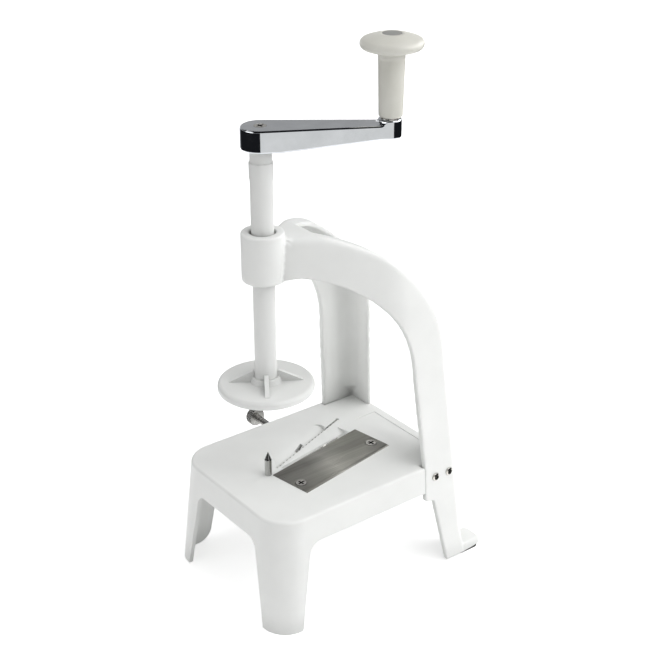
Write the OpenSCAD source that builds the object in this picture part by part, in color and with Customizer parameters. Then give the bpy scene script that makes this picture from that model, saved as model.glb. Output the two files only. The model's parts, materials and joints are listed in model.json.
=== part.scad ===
// Hand-cranked vertical spiral slicer.
// Origin on the floor under the shaft axis, +Z up, front towards -Y, millimetres.

/* [Table] */
// Height of the deck above the floor
deck_h = 81; // [74:0.5:92]
// Width of the deck across its side edges
deck_w = 116; // [110:0.5:124]
// Distance from the shaft axis to the front edge of the deck
deck_front = 34; // [30:0.5:44]
// Radius of the front corners at the deck
deck_corner_r = 22; // [18:0.5:26]
// Radius of the front corners at the feet
foot_corner_r = 18; // [15:0.5:22]
// Outward lean of the side walls and the frame's plates, in degrees
side_draft = 4.4; // [3:0.1:5.5]
// Outward lean of the front wall, in degrees
front_draft = 3; // [1.5:0.1:4.5]
// Thickness of the table's walls
wall = 3; // [2.4:0.1:3.6]
// Thickness of the deck
deck_t = 3; // [2.4:0.1:3.6]
// Radius of the rolled edge of the deck
edge_r = 1.8; // [1:0.1:2.2]
// Depth of the skirt below the deck surface
skirt_h = 19.5; // [18:0.5:24]
// Gap between the front feet at the floor
front_gap = 90; // [80:1:96]
// Lean of the edges of the front gap, in degrees
front_gap_lean = 11; // [6:0.5:13]
// Distance from the shaft axis forward to the side gap at the floor
side_gap_front = 19; // [14:0.5:22]
// Lean of the front edge of the side gap, in degrees
side_gap_lean = 9.5; // [5:0.5:12]
// Radius of the upper corners of the gaps
gap_r = 9; // [5:0.5:11]
// Extra length of the left front leg towards the rear
left_leg_extra = 8; // [0:0.5:12]
// Rounding of the left front leg's lower rear corner
left_foot_r = 11; // [4:0.5:13]
// Rounding of the right front leg's lower rear corner
right_foot_r = 2; // [0.5:0.5:4]
// Depth of the plain panel pressed into the rear of the deck
panel_depth = 0.4; // [0.2:0.1:0.6]
// Length of the plain panel across the deck
panel_l = 58; // [40:1:64]
// Width of the plain panel along the deck
panel_w = 17; // [12:0.5:19]

/* [Rear frame] */
// Distance of the arch's centre behind the shaft axis
arch_y = 6.5; // [4:0.5:9]
// Height of the arch's centre above the floor
arch_z = 150; // [140:1:160]
// Outer radius of the arch
arch_r = 103.5; // [98:0.5:108]
// Depth of the arch and its legs, seen from the side
band_d = 28; // [25:0.5:31]
// Rearward lean of the legs, in degrees
leg_lean = 5; // [3:0.1:6]
// Thickness of the side plates
plate_t = 4; // [3:0.1:5]
// Thickness of the outer web
web_t = 3; // [2.4:0.1:4]
// Width of the web left beside the window on the legs
flange_w = 24; // [20:0.5:28]
// Width of the web left beside the window on the arms
arm_flange_w = 13; // [9:0.5:14]
// Half width of the neck behind the collar
neck_w = 12.8; // [11:0.1:13.5]
// Distance behind the shaft axis where the arms begin to spread
neck_l = 14; // [12:0.5:18]
// Radius of the shoulders in plan
shoulder_r = 30; // [24:1:34]
// Distance of the shoulder centres behind the shaft axis
shoulder_y = 78; // [72:1:84]
// Distance behind the shaft axis where the hollow of the arms begins
hollow_y = 22; // [18:0.5:25]
// Distance behind the shaft axis where the window begins
window_y = 32; // [28:0.5:36]
// Height that the flat top of the neck lies below the arch's crown
crown_cut = 2.8; // [1:0.1:3.5]
// Height that the neck reaches below the arch's inner curve
neck_fill = 1.2; // [0.5:0.1:1.5]
// Height of the plates' lower front corner below the deck
tab_drop = 26; // [24:0.5:30]
// Step from the plates' front edge back to the rear legs
knee_l = 7.5; // [4:0.5:10]
// Distance that the front edge of the rear legs runs back towards the floor
leg_rake = 11; // [6:0.5:13]
// Length of the heel behind the rear legs
heel_l = 16; // [10:0.5:20]
// Height of the heel
heel_h = 6; // [5:0.5:8]
// Width of the heel
heel_w = 18; // [15:0.5:22]
// Radius of the corners of the heel
heel_r = 4; // [2:0.5:6]
// Height of the rubber pads under the heels
pad_h = 1.2; // [1:0.1:2]
// Margin of the pads inside the heel's edges
pad_margin = 1.2; // [1:0.1:2]
// Radius of the stub that holds each pad
pad_stub_r = 2.5; // [1.5:0.1:3]
// Length of the stub that holds each pad
pad_stub_l = 3; // [2:0.1:3.5]

/* [Collar and shaft] */
// Outer radius of the collar
collar_r = 13.75; // [13:0.05:15]
// Height of the collar above the arch
collar_rise = 2.5; // [1:0.1:4]
// Depth of the collar below the arch's underside
collar_drop = 1.5; // [0.5:0.1:3]
// Radius of the rounded rims of the collar
collar_rim_r = 1.2; // [0.6:0.1:1.6]
// Radius of the shaft
shaft_r = 7.5; // [7:0.05:8]
// Wall of the bush that guides the shaft
bush_wall = 2.4; // [2:0.05:2.8]
// Thickness of the lip under the bush
bush_lip_t = 3; // [2:0.1:4]
// Depth of the clip below the top of the collar
clip_depth = 2; // [1.5:0.1:3]
// Thickness of the clip
clip_t = 1.2; // [0.8:0.1:1.6]
// Depth of the clip's groove in the collar
clip_groove = 0.8; // [0.5:0.05:1.2]
// Width of the two long grooves in the shaft
groove_w = 5; // [3:0.1:6]
// Depth of the long grooves
groove_d = 1.4; // [1:0.1:1.8]
// Height of the grooves' upper end below the crank
groove_top = 18; // [14:0.5:22]
// Height of the grooves' lower end above the disc's underside
groove_low = 18; // [17:0.5:22]
// Height of the keys in the bush
key_h = 9; // [6:0.5:10]
// Length of the shaft from the disc's underside to the crank
shaft_l = 162; // [155:1:170]
// Radius of the neck below the crank
shaft_neck_r = 6.8; // [6.2:0.1:7]
// Length of the neck below the crank
shaft_neck_l = 8.5; // [6:0.5:10]
// Width of the square that drives the crank
drive_w = 9; // [8:0.1:9.4]
// Height of the square that drives the crank
drive_h = 9; // [7:0.1:10]

/* [Pusher disc] */
// Height of the disc's underside above the deck, at rest
disc_lift = 66.3; // [62:0.5:72]
// Radius of the disc
disc_r = 31.5; // [28:0.5:34]
// Thickness of the disc's plate
disc_t = 5.2; // [4.6:0.1:6]
// Rounding of the disc's upper edge
disc_edge_r = 2.6; // [1.5:0.1:3]
// Wall of the hub around the shaft
disc_hub_wall = 2; // [1.5:0.1:3]
// Height of the hub above the disc's underside
disc_hub_h = 9; // [8:0.5:12]
// Height of the gussets above the disc's underside
gusset_h = 12.8; // [11:0.1:15]
// Reach of the gussets from the axis
gusset_reach = 24; // [20:0.5:27]
// Thickness of the gussets
gusset_t = 2.8; // [2:0.1:5]
// Length of the spikes
spike_l = 5; // [3:0.5:7]
// Radius of the spikes at their root
spike_r = 1.9; // [1.2:0.1:2.4]
// Radius of the ring of spikes
spike_ring_r = 21; // [16:0.5:25]
// Number of spikes
spike_n = 8; // [6:1:10]
// Radius of the cross pin
disc_pin_r = 1.25; // [1:0.05:1.5]
// Height of the cross pin above the disc's underside
disc_pin_h = 6.4; // [6.2:0.1:7]
// Depth of the cross pin past the shaft axis
disc_pin_in = 5; // [3:0.1:6]
// Depth of the hollow under the disc that clears the centre pin
pin_hollow = 4; // [3.5:0.1:4.4]

/* [Crank] */
// Direction of the crank arm from +X, in degrees
crank_a = 57; // [0:1:359]
// Distance from the shaft axis to the knob's axis
crank_l = 77.6; // [70:0.5:84]
// Radius of the arm around the shaft
hub_r = 12.1; // [11.4:0.1:14]
// Height of the arm at the shaft
hub_h = 14.1; // [13:0.1:16]
// Radius of the arm around the knob's axis
tip_r = 6.8; // [6.2:0.1:8]
// Height of the arm at the knob
tip_h = 9; // [8:0.1:11]
// Height of the raised seat under the knob
seat_h = 2.9; // [2:0.1:3.5]
// Width of the hollow fillet around the seat
seat_fillet = 2.4; // [1:0.1:2.8]

/* [Knob] */
// Radius of the stem at its foot
stem_low_r = 7.3; // [6.8:0.1:8]
// Radius of the stem under the head
stem_top_r = 8.2; // [7.6:0.1:9.4]
// Length of the stem
stem_l = 40.3; // [36:0.1:46]
// Radius of the head
head_r = 19; // [16:0.25:22]
// Radius of the head's rounded edge
head_edge_r = 3.3; // [2.5:0.1:4]
// Radius of the domed top of the head
head_dome_r = 46; // [38:1:60]
// Radius of the hollow curve from stem to head
head_fillet_r = 3.5; // [2:0.1:5]
// Radius of the cap
cap_r = 5.9; // [5.4:0.1:6.6]
// Thickness of the cap
cap_t = 2.2; // [1.6:0.1:3]
// Radius of the spindle
spindle_r = 3; // [2.5:0.05:3.4]
// Radius of the spindle's head
spindle_head_r = 4.8; // [4.2:0.1:5]
// Height of the spindle's head
spindle_head_h = 3; // [2:0.1:3.5]
// Radius of the spindle's thread in the arm
spindle_thread_r = 2.4; // [2:0.05:2.45]
// Thickness of the washer under the knob
washer_t = 0.8; // [0.6:0.05:1.2]
// Outer radius of the washer under the knob
washer_r = 6.2; // [5.4:0.1:6.4]

/* [Blade] */
// Turn of the blade plate from the table's length, in degrees
blade_a = 9.75; // [8:0.25:12]
// Length of the blade plate
blade_l = 82; // [76:0.5:86]
// Width of the blade plate
blade_w = 31.7; // [28:0.1:34]
// Thickness of the blade plate
blade_t = 1.6; // [1.2:0.1:2]
// Height of the plate above the deck
blade_proud = 0.3; // [0.1:0.05:0.5]
// Distance of the cutting edge beside the shaft axis
blade_u = 3; // [2.8:0.05:4]
// Distance of the plate's front end behind the shaft axis
blade_v = 1.3; // [1:0.05:3]
// Distance of the screws from the cutting edge
blade_screw_u = 20.4; // [18:0.1:23]
// Distance of the screws from the plate's ends
blade_screw_v = 6; // [5:0.1:8]
// Width of the ground bevels along the plate's edges
bevel_w = 3.2; // [1:0.1:4]
// Radius of the centre pin
pin_r = 2.35; // [2:0.05:2.6]
// Height of the centre pin above the deck
pin_h = 17.4; // [14:0.1:18]
// Height of the pin's point
pin_point_h = 5.6; // [4:0.1:8]
// Radius of the pin's tail
pin_tail_r = 1.6; // [1.4:0.05:1.75]

/* [Comb and throat] */
// Turn of the comb's slit from the table's length, in degrees
comb_a = 20.4; // [19:0.1:22]
// Thickness of the comb
comb_t = 0.8; // [0.6:0.05:1]
// Height of the comb
comb_h = 18; // [16.5:0.5:18.5]
// Distance of the comb's inner end from the shaft axis
comb_in = 10; // [8:0.5:12]
// Distance of the comb's outer end from the shaft axis
comb_out = 87; // [80:0.5:89]
// Spacing of the comb's teeth
tooth_pitch = 4; // [3:0.25:6]
// Width of the comb's teeth
tooth_w = 1.4; // [1:0.1:2]
// Height of the comb's teeth
tooth_h = 4; // [3:0.25:5]
// Depth of the lowered teeth below the deck
comb_sink = 0.6; // [0.4:0.1:1]
// Radius of the round end of the slit
slit_end_r = 1.3; // [0.9:0.1:1.6]
// Width of the hollow beside the slit
hollow_w = 10; // [8:0.5:12]
// Depth of the hollow at the slit
hollow_d = 3.2; // [2.6:0.1:3.6]
// Distance of the hollow's outer end from the shaft axis
hollow_out = 74; // [66:0.5:76]
// Distance of the short slot in the hollow from the shaft axis
slot_v = 42; // [30:0.5:50]
// Length of the short slot
slot_l = 10; // [6:0.5:14]
// Width of the short slot
slot_w = 2.2; // [1.5:0.1:3]
// Width of the bar that carries the comb
bar_w = 7; // [6:0.1:8]
// Distance of the bar's inner end from the shaft axis
bar_in = 22; // [20:0.5:26]
// Distance of the bar's outer end from the shaft axis
bar_out = 75; // [72:0.5:77]
// Height of the bar
bar_h = 8.5; // [7.5:0.1:9]
// Lift of the comb to its working height
comb_lift = 3; // [2:0.1:3]
// Radius of the comb's rivets
rivet_r = 1.2; // [1:0.05:1.5]

/* [Thumbscrew] */
// Distance of the thumbscrew behind the shaft axis
thumb_y = 45.4; // [40:0.1:50]
// Radius of the thumbscrew's thread
thumb_r = 2.5; // [2:0.05:3]
// Radius of the thumbscrew's head
thumb_head_r = 6.4; // [5.5:0.1:7.5]
// Length of the thumbscrew's head
thumb_head_l = 6.5; // [5:0.5:8]
// Gap between the side wall and the thumbscrew's head
thumb_reach = 19.7; // [16:0.1:22]
// Number of knurl grooves around the head
knurl_n = 28; // [16:1:36]
// Depth of the knurl grooves
knurl_d = 0.5; // [0.3:0.05:0.6]
// Radius of the swivel pad on the tip
swivel_r = 2.9; // [2.7:0.1:3.3]
// Length of the swivel pad
swivel_l = 5; // [4:0.1:6]

/* [Screws] */
// Radius of the frame screws
frame_screw_r = 1.5; // [1.25:0.05:1.75]
// Radius of the frame screws' heads
frame_head_r = 2.8; // [2.4:0.1:3.2]
// Height of the frame screws' heads
frame_head_h = 2; // [1.5:0.1:2.5]
// Length of the frame screws' shanks
frame_screw_l = 11; // [9:0.5:13]
// Depth of the frame screws below the deck
frame_screw_drop = 10; // [9:0.5:11]
// Distance of the front frame screws behind the joint
frame_screw_y = 9.5; // [8:0.5:10]
// Spacing of the two frame screws
frame_screw_pitch = 12; // [10:0.5:12.5]
// Radius of the countersunk screws
csk_r = 2; // [1.6:0.05:2.2]
// Radius of the countersunk heads
csk_head_r = 4; // [3.6:0.1:4.3]
// Height of the countersunk heads
csk_head_h = 2.2; // [1.8:0.1:2.6]
// Length of the countersunk screws
csk_l = 12; // [11:0.5:14]
// Depth of the cross recesses
recess_d = 1.1; // [0.6:0.1:1.4]
// Thickness of the nuts
nut_t = 3; // [2.4:0.1:3.4]
// Width of the nuts across their flats
nut_w = 7; // [6.4:0.1:8]

/* [Fits] */
// Gap between pieces that are fastened together
seam = 0.2; // [0.1:0.05:0.3]
// Radial gap of turning and sliding fits
run = 0.05; // [0.02:0.01:0.1]
// Gap between pieces that pass each other
pass = 0.35; // [0.3:0.05:0.5]

/* [Hidden] */
$fn = 96;

// Thin slab and overshoot used where shapes are cut or joined
slice = 0.02;
over = 1;
hull_fn = 48;
// Reach of cutting shapes that run right across the object
span = 400;

white = "whitesmoke";
steel = "silver";
chrome = "lightgray";

// Heights, lengths and places that follow from the sizes above
half_w = deck_w / 2;
gap_top = deck_h - skirt_h;
arch_in_r = arch_r - band_d;
arch_top = arch_z + arch_r;
collar_top = arch_top + collar_rise;
collar_low = arch_top - band_d - collar_drop;
collar_h = collar_top - collar_low;
seam_y = arch_y + arch_in_r + (arch_z - deck_h) * tan(leg_lean);
tongue_y = seam_y + band_d - web_t - seam;
rear_y = seam_y + band_d - seam;
heel_y = arch_y + arch_r + arch_z * tan(leg_lean) - web_t - wall;
disc_z = deck_h + disc_lift;
crank_z = disc_z + shaft_l;
bush_r = shaft_r + run + bush_wall;
clip_z = collar_low + clip_depth;
bush_low = clip_z + clip_t;
bush_top = collar_top - bush_lip_t;
groove_z0 = disc_z + groove_low;
groove_z1 = crank_z - groove_top;
seat_z = crank_z + hub_h + seat_h;
knob_z = seat_z + washer_t + pass;
head_z = knob_z + stem_l;
edge_x = head_r - head_edge_r;
dome_rise = head_dome_r - sqrt(pow(head_dome_r - head_edge_r, 2) - edge_x * edge_x);
head_h = head_edge_r + dome_rise;
knob_top = head_z + head_h;
cap_z = knob_top - cap_t;
spindle_head_z = cap_z - pass - spindle_head_h;
blade_top = deck_h + blade_proud;
blade_low = blade_top - blade_t;
boss_t = 3;
boss_low = deck_h - deck_t - boss_t;
boss_r = nut_w / 2 + 1.5;
comb_top = deck_h - comb_sink;
hollow_pad = hollow_d + wall * 0.55;
bar_top = deck_h - hollow_pad - comb_lift - pass;
thumb_z = deck_h - hollow_pad - pass - swivel_r;
thumb_boss_r = thumb_r + 3.2;
slit_w = comb_t + 2 * pass;
insert_r = frame_screw_r + 1.1;
insert_l = 5.5;

// Half width of the table and of the frame at a height
function side_x(z) = half_w + (deck_h - z) * tan(side_draft);
// Place of the table's front face at a height
function front_y(z) = -deck_front - (deck_h - z) * tan(front_draft);
// Place of the rear face of the legs at a height
function leg_rear(z) = arch_y + arch_r + (arch_z - z) * tan(leg_lean);
// Point at a distance r on the ray that turns by an angle from +Y towards -X
function ray(a, r) = [-r * sin(a), r * cos(a)];

// Extrudes a side view, drawn as y and z, across the object
module across(w = span) {
    rotate([90, 0, 90]) translate([0, 0, -w / 2]) linear_extrude(w) children();
}
// Extrudes a front view, drawn as x and z, from y0 to y1
module along(y0, y1) {
    translate([0, y1, 0]) rotate([90, 0, 0]) linear_extrude(y1 - y0) children();
}
// Cylinder along +X
module rod_x(r, l) {
    rotate([0, 90, 0]) cylinder(r = r, h = l);
}
// Cross recess for a screwdriver, cut down from z = 0
module cross_recess(size) {
    arm = size * 0.26;
    for (a = [0, 90]) {
        rotate([0, 0, a]) translate([-size / 2, -arm / 2, -recess_d]) cube([size, arm, recess_d + over]);
    }
}
// Hexagonal nut with its top face at z = 0
module hex_nut(w, t, bore) {
    translate([0, 0, -t]) difference() {
        cylinder(d = w / cos(30), h = t, $fn = 6);
        translate([0, 0, -over]) cylinder(r = bore, h = t + 2 * over);
    }
}
// Countersunk screw with the top of its head at z = 0
module csk_screw(l) {
    difference() {
        union() {
            translate([0, 0, -csk_head_h]) cylinder(r1 = csk_r, r2 = csk_head_r, h = csk_head_h);
            translate([0, 0, -l]) cylinder(r = csk_r, h = l - csk_head_h + slice);
        }
        cross_recess(csk_head_r * 1.15);
    }
}
// Countersunk hole for that screw, with its mouth at z = 0
module csk_hole(l) {
    translate([0, 0, -csk_head_h]) {
        cylinder(r1 = csk_r + seam, r2 = csk_head_r + seam, h = csk_head_h + slice);
        translate([0, 0, -l]) cylinder(r = csk_r + seam, h = l + slice);
    }
    cylinder(r = csk_head_r + seam, h = over);
}

// Places of repeated pieces
module at_blade() {
    rotate([0, 0, blade_a]) children();
}
module at_blade_screws() {
    for (v = [blade_screw_v, blade_l - blade_screw_v]) {
        at_blade() translate([blade_u + blade_screw_u, blade_v + v, 0]) children();
    }
}
module at_comb() {
    rotate([0, 0, comb_a]) children();
}
// Places of the frame screws, with +X out of the side of the frame
module at_frame_screws() {
    for (s = [0, 1], k = [0, 1]) {
        y = seam_y + frame_screw_y + k * frame_screw_pitch;
        z = deck_h - frame_screw_drop;
        mirror([s, 0, 0]) translate([side_x(z), y, z]) children();
    }
}
module at_rivets() {
    for (v = [bar_in + bar_w, bar_out - bar_w]) {
        at_comb() translate([0, v, bar_top - bar_h / 2]) children();
    }
}
// Frame of the thumbscrew: +X runs along it towards the comb, from the outer face of the wall
module at_thumb() {
    translate([-side_x(thumb_z), thumb_y, thumb_z]) children();
}
// Left face of the comb's bar, and the length from the outer face of the wall to it
bar_left = -comb_t / 2 - bar_w;
thumb_run = side_x(thumb_z) + bar_left / cos(comb_a) - thumb_y * tan(comb_a);

// Slab of the table's outline at a height, drawn in by an inset and ending at a rear line
module table_slice(z, inset, rear) {
    t = (deck_h - z) / deck_h;
    r = deck_corner_r + (foot_corner_r - deck_corner_r) * t - inset;
    hw = side_x(z) - inset;
    translate([0, 0, z]) linear_extrude(slice) {
        for (s = [-1, 1]) translate([s * (hw - r), front_y(z) + inset + r]) circle(r, $fn = hull_fn);
        translate([-hw, rear - slice]) square([2 * hw, slice]);
    }
}
// Closed outer form of the table's front part with its rolled deck edge
module table_form() {
    hull() {
        table_slice(0, 0, seam_y);
        for (a = [0:22.5:90]) {
            table_slice(deck_h - slice - edge_r + edge_r * sin(a), edge_r - edge_r * cos(a), seam_y);
        }
    }
}
// Hollow of the table
module table_hollow() {
    hull() {
        table_slice(-over, wall, seam_y + over);
        table_slice(deck_h - deck_t - slice, wall, seam_y + over);
    }
}
// Gap between the front legs, drawn as x and z
module front_gap_shape() {
    g = front_gap_lean;
    z = gap_top - gap_r;
    xc = front_gap / 2 - z * tan(g) - gap_r / cos(g);
    foot = front_gap / 2 + over * tan(g);
    tx = xc + gap_r * cos(g);
    tz = z + gap_r * sin(g);
    polygon([[-foot, -over], [foot, -over], [tx, tz], [xc, gap_top], [-xc, gap_top], [-tx, tz]]);
    for (s = [-1, 1]) translate([s * xc, z]) circle(gap_r);
}
// Gap behind a front leg, drawn as y and z, for a leg with some extra length and a rounded foot
module side_gap_shape(extra, round_r) {
    g = side_gap_lean;
    z = gap_top - gap_r;
    start = extra - side_gap_front;
    yc = start + z * tan(g) + gap_r / cos(g);
    foot = start - over * tan(g);
    rear = seam_y + over;
    polygon([[foot, -over], [rear, -over], [rear, gap_top], [yc, gap_top],
        [yc - gap_r * cos(g), z + gap_r * sin(g)]]);
    translate([yc, z]) circle(gap_r);
    ry = start + round_r * tan(g) - round_r / cos(g);
    difference() {
        polygon([[ry, -over], [foot + over, -over], [start + round_r * tan(g) + over, round_r],
            [ry + round_r * cos(g), round_r - round_r * sin(g)], [ry, round_r / 2]]);
        translate([ry, round_r]) circle(round_r);
    }
}
// Cross-section of the deck's tongue between the frame's plates, drawn as x and z
module tongue_shape(inset, top, low) {
    polygon([[-side_x(low) + inset, low], [side_x(low) - inset, low],
        [side_x(top) - inset, top], [-side_x(top) + inset, top]]);
}
// Rear tongue of the table, which the frame's plates and web close round
module tongue() {
    fit = plate_t + seam;
    slot = flange_w + seam;
    under = deck_h - deck_t;
    difference() {
        union() {
            along(seam_y - wall, tongue_y) tongue_shape(fit, deck_h, gap_top);
            along(tongue_y - wall, rear_y) tongue_shape(slot, deck_h, gap_top);
        }
        along(seam_y - wall - over, tongue_y - wall) tongue_shape(fit + wall, under, gap_top - over);
        along(tongue_y - wall - over, rear_y - wall) tongue_shape(slot + wall, under, gap_top - over);
    }
    // Blocks behind the side walls that hold the screw inserts
    block_t = frame_screw_l - plate_t + wall;
    z = deck_h - frame_screw_drop;
    intersection() {
        along(seam_y - slice, tongue_y) tongue_shape(fit, deck_h - slice, gap_top);
        for (s = [0, 1]) mirror([s, 0, 0]) {
            translate([side_x(z) - fit - block_t, seam_y, z - insert_r - wall])
                cube([span, tongue_y - seam_y, frame_screw_drop + insert_r + wall]);
        }
    }
}
// Hollow beside the comb's slit, cut by a plane that falls towards the slit
module ramp_cut() {
    fall = atan(hollow_d / hollow_w);
    end_r = hollow_w / 2;
    at_comb() intersection() {
        translate([0, 0, deck_h - 2 * hollow_d]) linear_extrude(4 * hollow_d) {
            polygon([[0, comb_in], [-hollow_w, comb_in + hollow_w], [-hollow_w, hollow_out - end_r],
                [0, hollow_out - end_r]]);
            translate([-end_r, hollow_out - end_r]) circle(end_r);
            translate([-end_r, hollow_out - 2 * end_r]) square([end_r, end_r * 1.6]);
        }
        translate([-hollow_w, 0, deck_h]) rotate([0, fall, 0]) cube([2 * hollow_w, span, span]);
    }
}
// Throat under the cutting edge, with a facet that falls to it from the land beside the comb
module throat_cut() {
    r0 = comb_in + 2;
    r1 = blade_l - 4;
    land_a = blade_a + (comb_a - blade_a) * 0.6;
    lip_a = blade_a + (comb_a - blade_a) * 0.18;
    fall = 19;
    under = 4.5;
    shift = [under * cos(blade_a), under * sin(blade_a)];
    translate([0, 0, deck_h - deck_t - over]) linear_extrude(deck_t + 2 * over)
        polygon([ray(lip_a, r0), ray(lip_a, r1), ray(blade_a, r1) + shift, ray(blade_a, r0) + shift]);
    intersection() {
        translate([0, 0, deck_h - deck_t]) linear_extrude(2 * deck_t)
            polygon([ray(land_a, r0), ray(land_a, r1), ray(lip_a - 1, r1), ray(lip_a - 1, r0)]);
        translate([0, 0, deck_h]) rotate([0, 0, land_a]) rotate([0, fall, 0]) cube([span, span, span]);
    }
}
// Bosses and posts under the deck
module under_deck() {
    translate([0, 0, boss_low]) {
        cylinder(r = boss_r, h = boss_t + slice);
        at_blade_screws() cylinder(r = boss_r, h = boss_t + slice);
    }
    at_comb() {
        translate([-hollow_w - wall, comb_in, deck_h - hollow_pad])
            cube([hollow_w + wall + 1.6, hollow_out + wall - comb_in, hollow_pad - deck_t + slice]);
        for (v = [bar_in - pass - wall, bar_out + pass]) {
            translate([-bar_w, v, bar_top - bar_h])
                cube([bar_w - slit_w, wall, deck_h - deck_t - bar_top + bar_h + slice]);
        }
    }
    at_thumb() translate([-over, 0, 0]) rod_x(thumb_boss_r, wall + nut_t + 4);
}

module base_table() {
    color(white) difference() {
        union() {
            difference() {
                table_form();
                table_hollow();
                along(-deck_front * 2, -deck_front + deck_corner_r) front_gap_shape();
                translate([span / 4, 0, 0]) across(span / 2) side_gap_shape(0, right_foot_r);
                translate([-span / 4, 0, 0]) across(span / 2) side_gap_shape(left_leg_extra, left_foot_r);
            }
            tongue();
            intersection() {
                table_form();
                under_deck();
            }
        }
        // Pocket, screw holes and throat of the blade
        at_blade() translate([blade_u - seam, blade_v - seam, blade_low])
            cube([blade_w + 2 * seam, blade_l + 2 * seam, blade_t + over]);
        at_blade_screws() translate([0, 0, blade_top]) csk_hole(csk_l);
        throat_cut();
        // Seat of the centre pin
        translate([0, 0, boss_low - over]) cylinder(r = pin_tail_r + seam, h = boss_t + deck_t + 2 * over);
        // Slit of the comb with its round end, and the hollow beside it
        ramp_cut();
        at_comb() translate([-slit_w / 2, comb_in - pass, gap_top]) {
            cube([slit_w, comb_out - comb_in + 2 * pass, skirt_h + over]);
            translate([slit_w / 2, comb_out - comb_in + pass, 0])
                cylinder(r = slit_end_r, h = skirt_h + over);
        }
        // Short slot through the bottom of the hollow
        at_comb() translate([-hollow_w / 3, slot_v, gap_top]) rotate([0, 0, 10])
            translate([-slot_w / 2, -slot_l / 2, 0]) cube([slot_w, slot_l, skirt_h + over]);
        // Plain panel at the rear of the deck
        translate([-panel_l / 2 + 6, seam_y + 5, deck_h - panel_depth]) cube([panel_l, panel_w, over]);
        // Hole of the thumbscrew with the pocket of its nut
        at_thumb() {
            translate([-over, 0, 0]) rod_x(thumb_r + pass, span / 8);
            translate([wall + 4, 0, 0]) rotate([0, 90, 0])
                cylinder(d = (nut_w + 2 * seam) / cos(30), h = nut_t + over + 4, $fn = 6);
        }
        // Holes of the frame screws with the seats of their inserts
        at_frame_screws() {
            translate([-plate_t - frame_screw_l, 0, 0]) rod_x(frame_screw_r + seam, frame_screw_l + plate_t);
            translate([-frame_screw_l - 0.5, 0, 0]) rod_x(insert_r, insert_l);
        }
    }
}

// Side view of the arch and its legs, drawn as y and z, between a rear inset and a front inset
module frame_side(rear, front, low) {
    knee_z = deck_h - tab_drop;
    toe_y = seam_y + knee_l + leg_rake;
    intersection() {
        translate([arch_y, arch_z]) difference() {
            circle(arch_r - rear, $fn = 180);
            circle(arch_in_r - front, $fn = 180);
        }
        translate([arch_y, arch_z]) square([arch_r, arch_r - crown_cut - rear]);
    }
    // Neck with a flat top below the crown, and an underside that closes the top of the inner curve
    neck_low = arch_z + arch_in_r - neck_fill - front;
    neck_end = arch_y + sqrt(pow(arch_in_r, 2) - pow(arch_in_r - neck_fill, 2));
    translate([-over, neck_low]) square([neck_end + over, arch_top - crown_cut - rear - neck_low]);
    polygon([
        [leg_rear(arch_z) - rear - web_t, arch_z + web_t],
        [leg_rear(arch_z) - rear, arch_z],
        [leg_rear(low) - rear, low],
        [toe_y - front, low],
        [seam_y + knee_l - front, knee_z - knee_l / 4],
        [seam_y + seam - front, knee_z],
        [seam_y + seam - front, deck_h],
        [arch_y + arch_in_r - front, arch_z],
        [arch_y + arch_in_r - front + web_t, arch_z + web_t]
    ]);
}
// Right half of the arms and legs seen along the leaning plate: a neck, a straight tangent to a round
// shoulder, then the flat plate. The outline is drawn in by inset, and by side from the plate's face
module half_plan(inset, side, y0) {
    top_shift = (arch_top - band_d / 2 - deck_h) * tan(side_draft);
    nx = neck_w + top_shift - inset;
    r = shoulder_r - inset;
    cx = half_w - shoulder_r;
    far = sqrt(pow(cx - nx, 2) + pow(shoulder_y - neck_l, 2));
    turn = atan2(cx - nx, shoulder_y - neck_l) + asin(r / far);
    tx = nx + sqrt(far * far - r * r) * sin(turn);
    ty = neck_l + sqrt(far * far - r * r) * cos(turn);
    intersection() {
        union() {
            polygon([[-half_w, -over], [nx, -over], [nx, neck_l], [tx, ty], [cx, shoulder_y],
                [-half_w, shoulder_y]]);
            translate([cx, shoulder_y]) circle(r);
            translate([-half_w, shoulder_y]) square([deck_w - inset, span]);
        }
        translate([-half_w, y0]) square([deck_w - side, span]);
    }
}
// Extrudes a right half plan along the lean of the plate and mirrors it to the left side
module leaning() {
    for (s = [0, 1]) mirror([s, 0, 0]) intersection() {
        translate([half_w, 0, deck_h]) rotate([0, -side_draft, 0]) translate([-half_w, 0, -2 * deck_h])
            linear_extrude(span) children();
        translate([-slice, -over, -over]) cube(span);
    }
}
// Heels of the rear legs, cut to the lean of the plates
module heels() {
    l = leg_rear(0) + heel_l - heel_y;
    intersection() {
        for (s = [0, 1]) mirror([s, 0, 0]) translate([side_x(0) - heel_w, heel_y, pad_h])
            linear_extrude(heel_h) {
            square([heel_w, l - heel_r]);
            translate([heel_r, 0]) square([heel_w - 2 * heel_r, l]);
            for (x = [heel_r, heel_w - heel_r]) translate([x, l - heel_r]) circle(heel_r);
        }
        leaning() half_plan(0, 0, 0);
    }
}
// Place of one pad's stub
pad_w = heel_w - 2 * pad_margin;
pad_l = leg_rear(0) + heel_l - heel_y - 2 * pad_margin;
pad_x = side_x(0) - heel_w / 2;
pad_y = heel_y + pad_margin + pad_l / 2;

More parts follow.
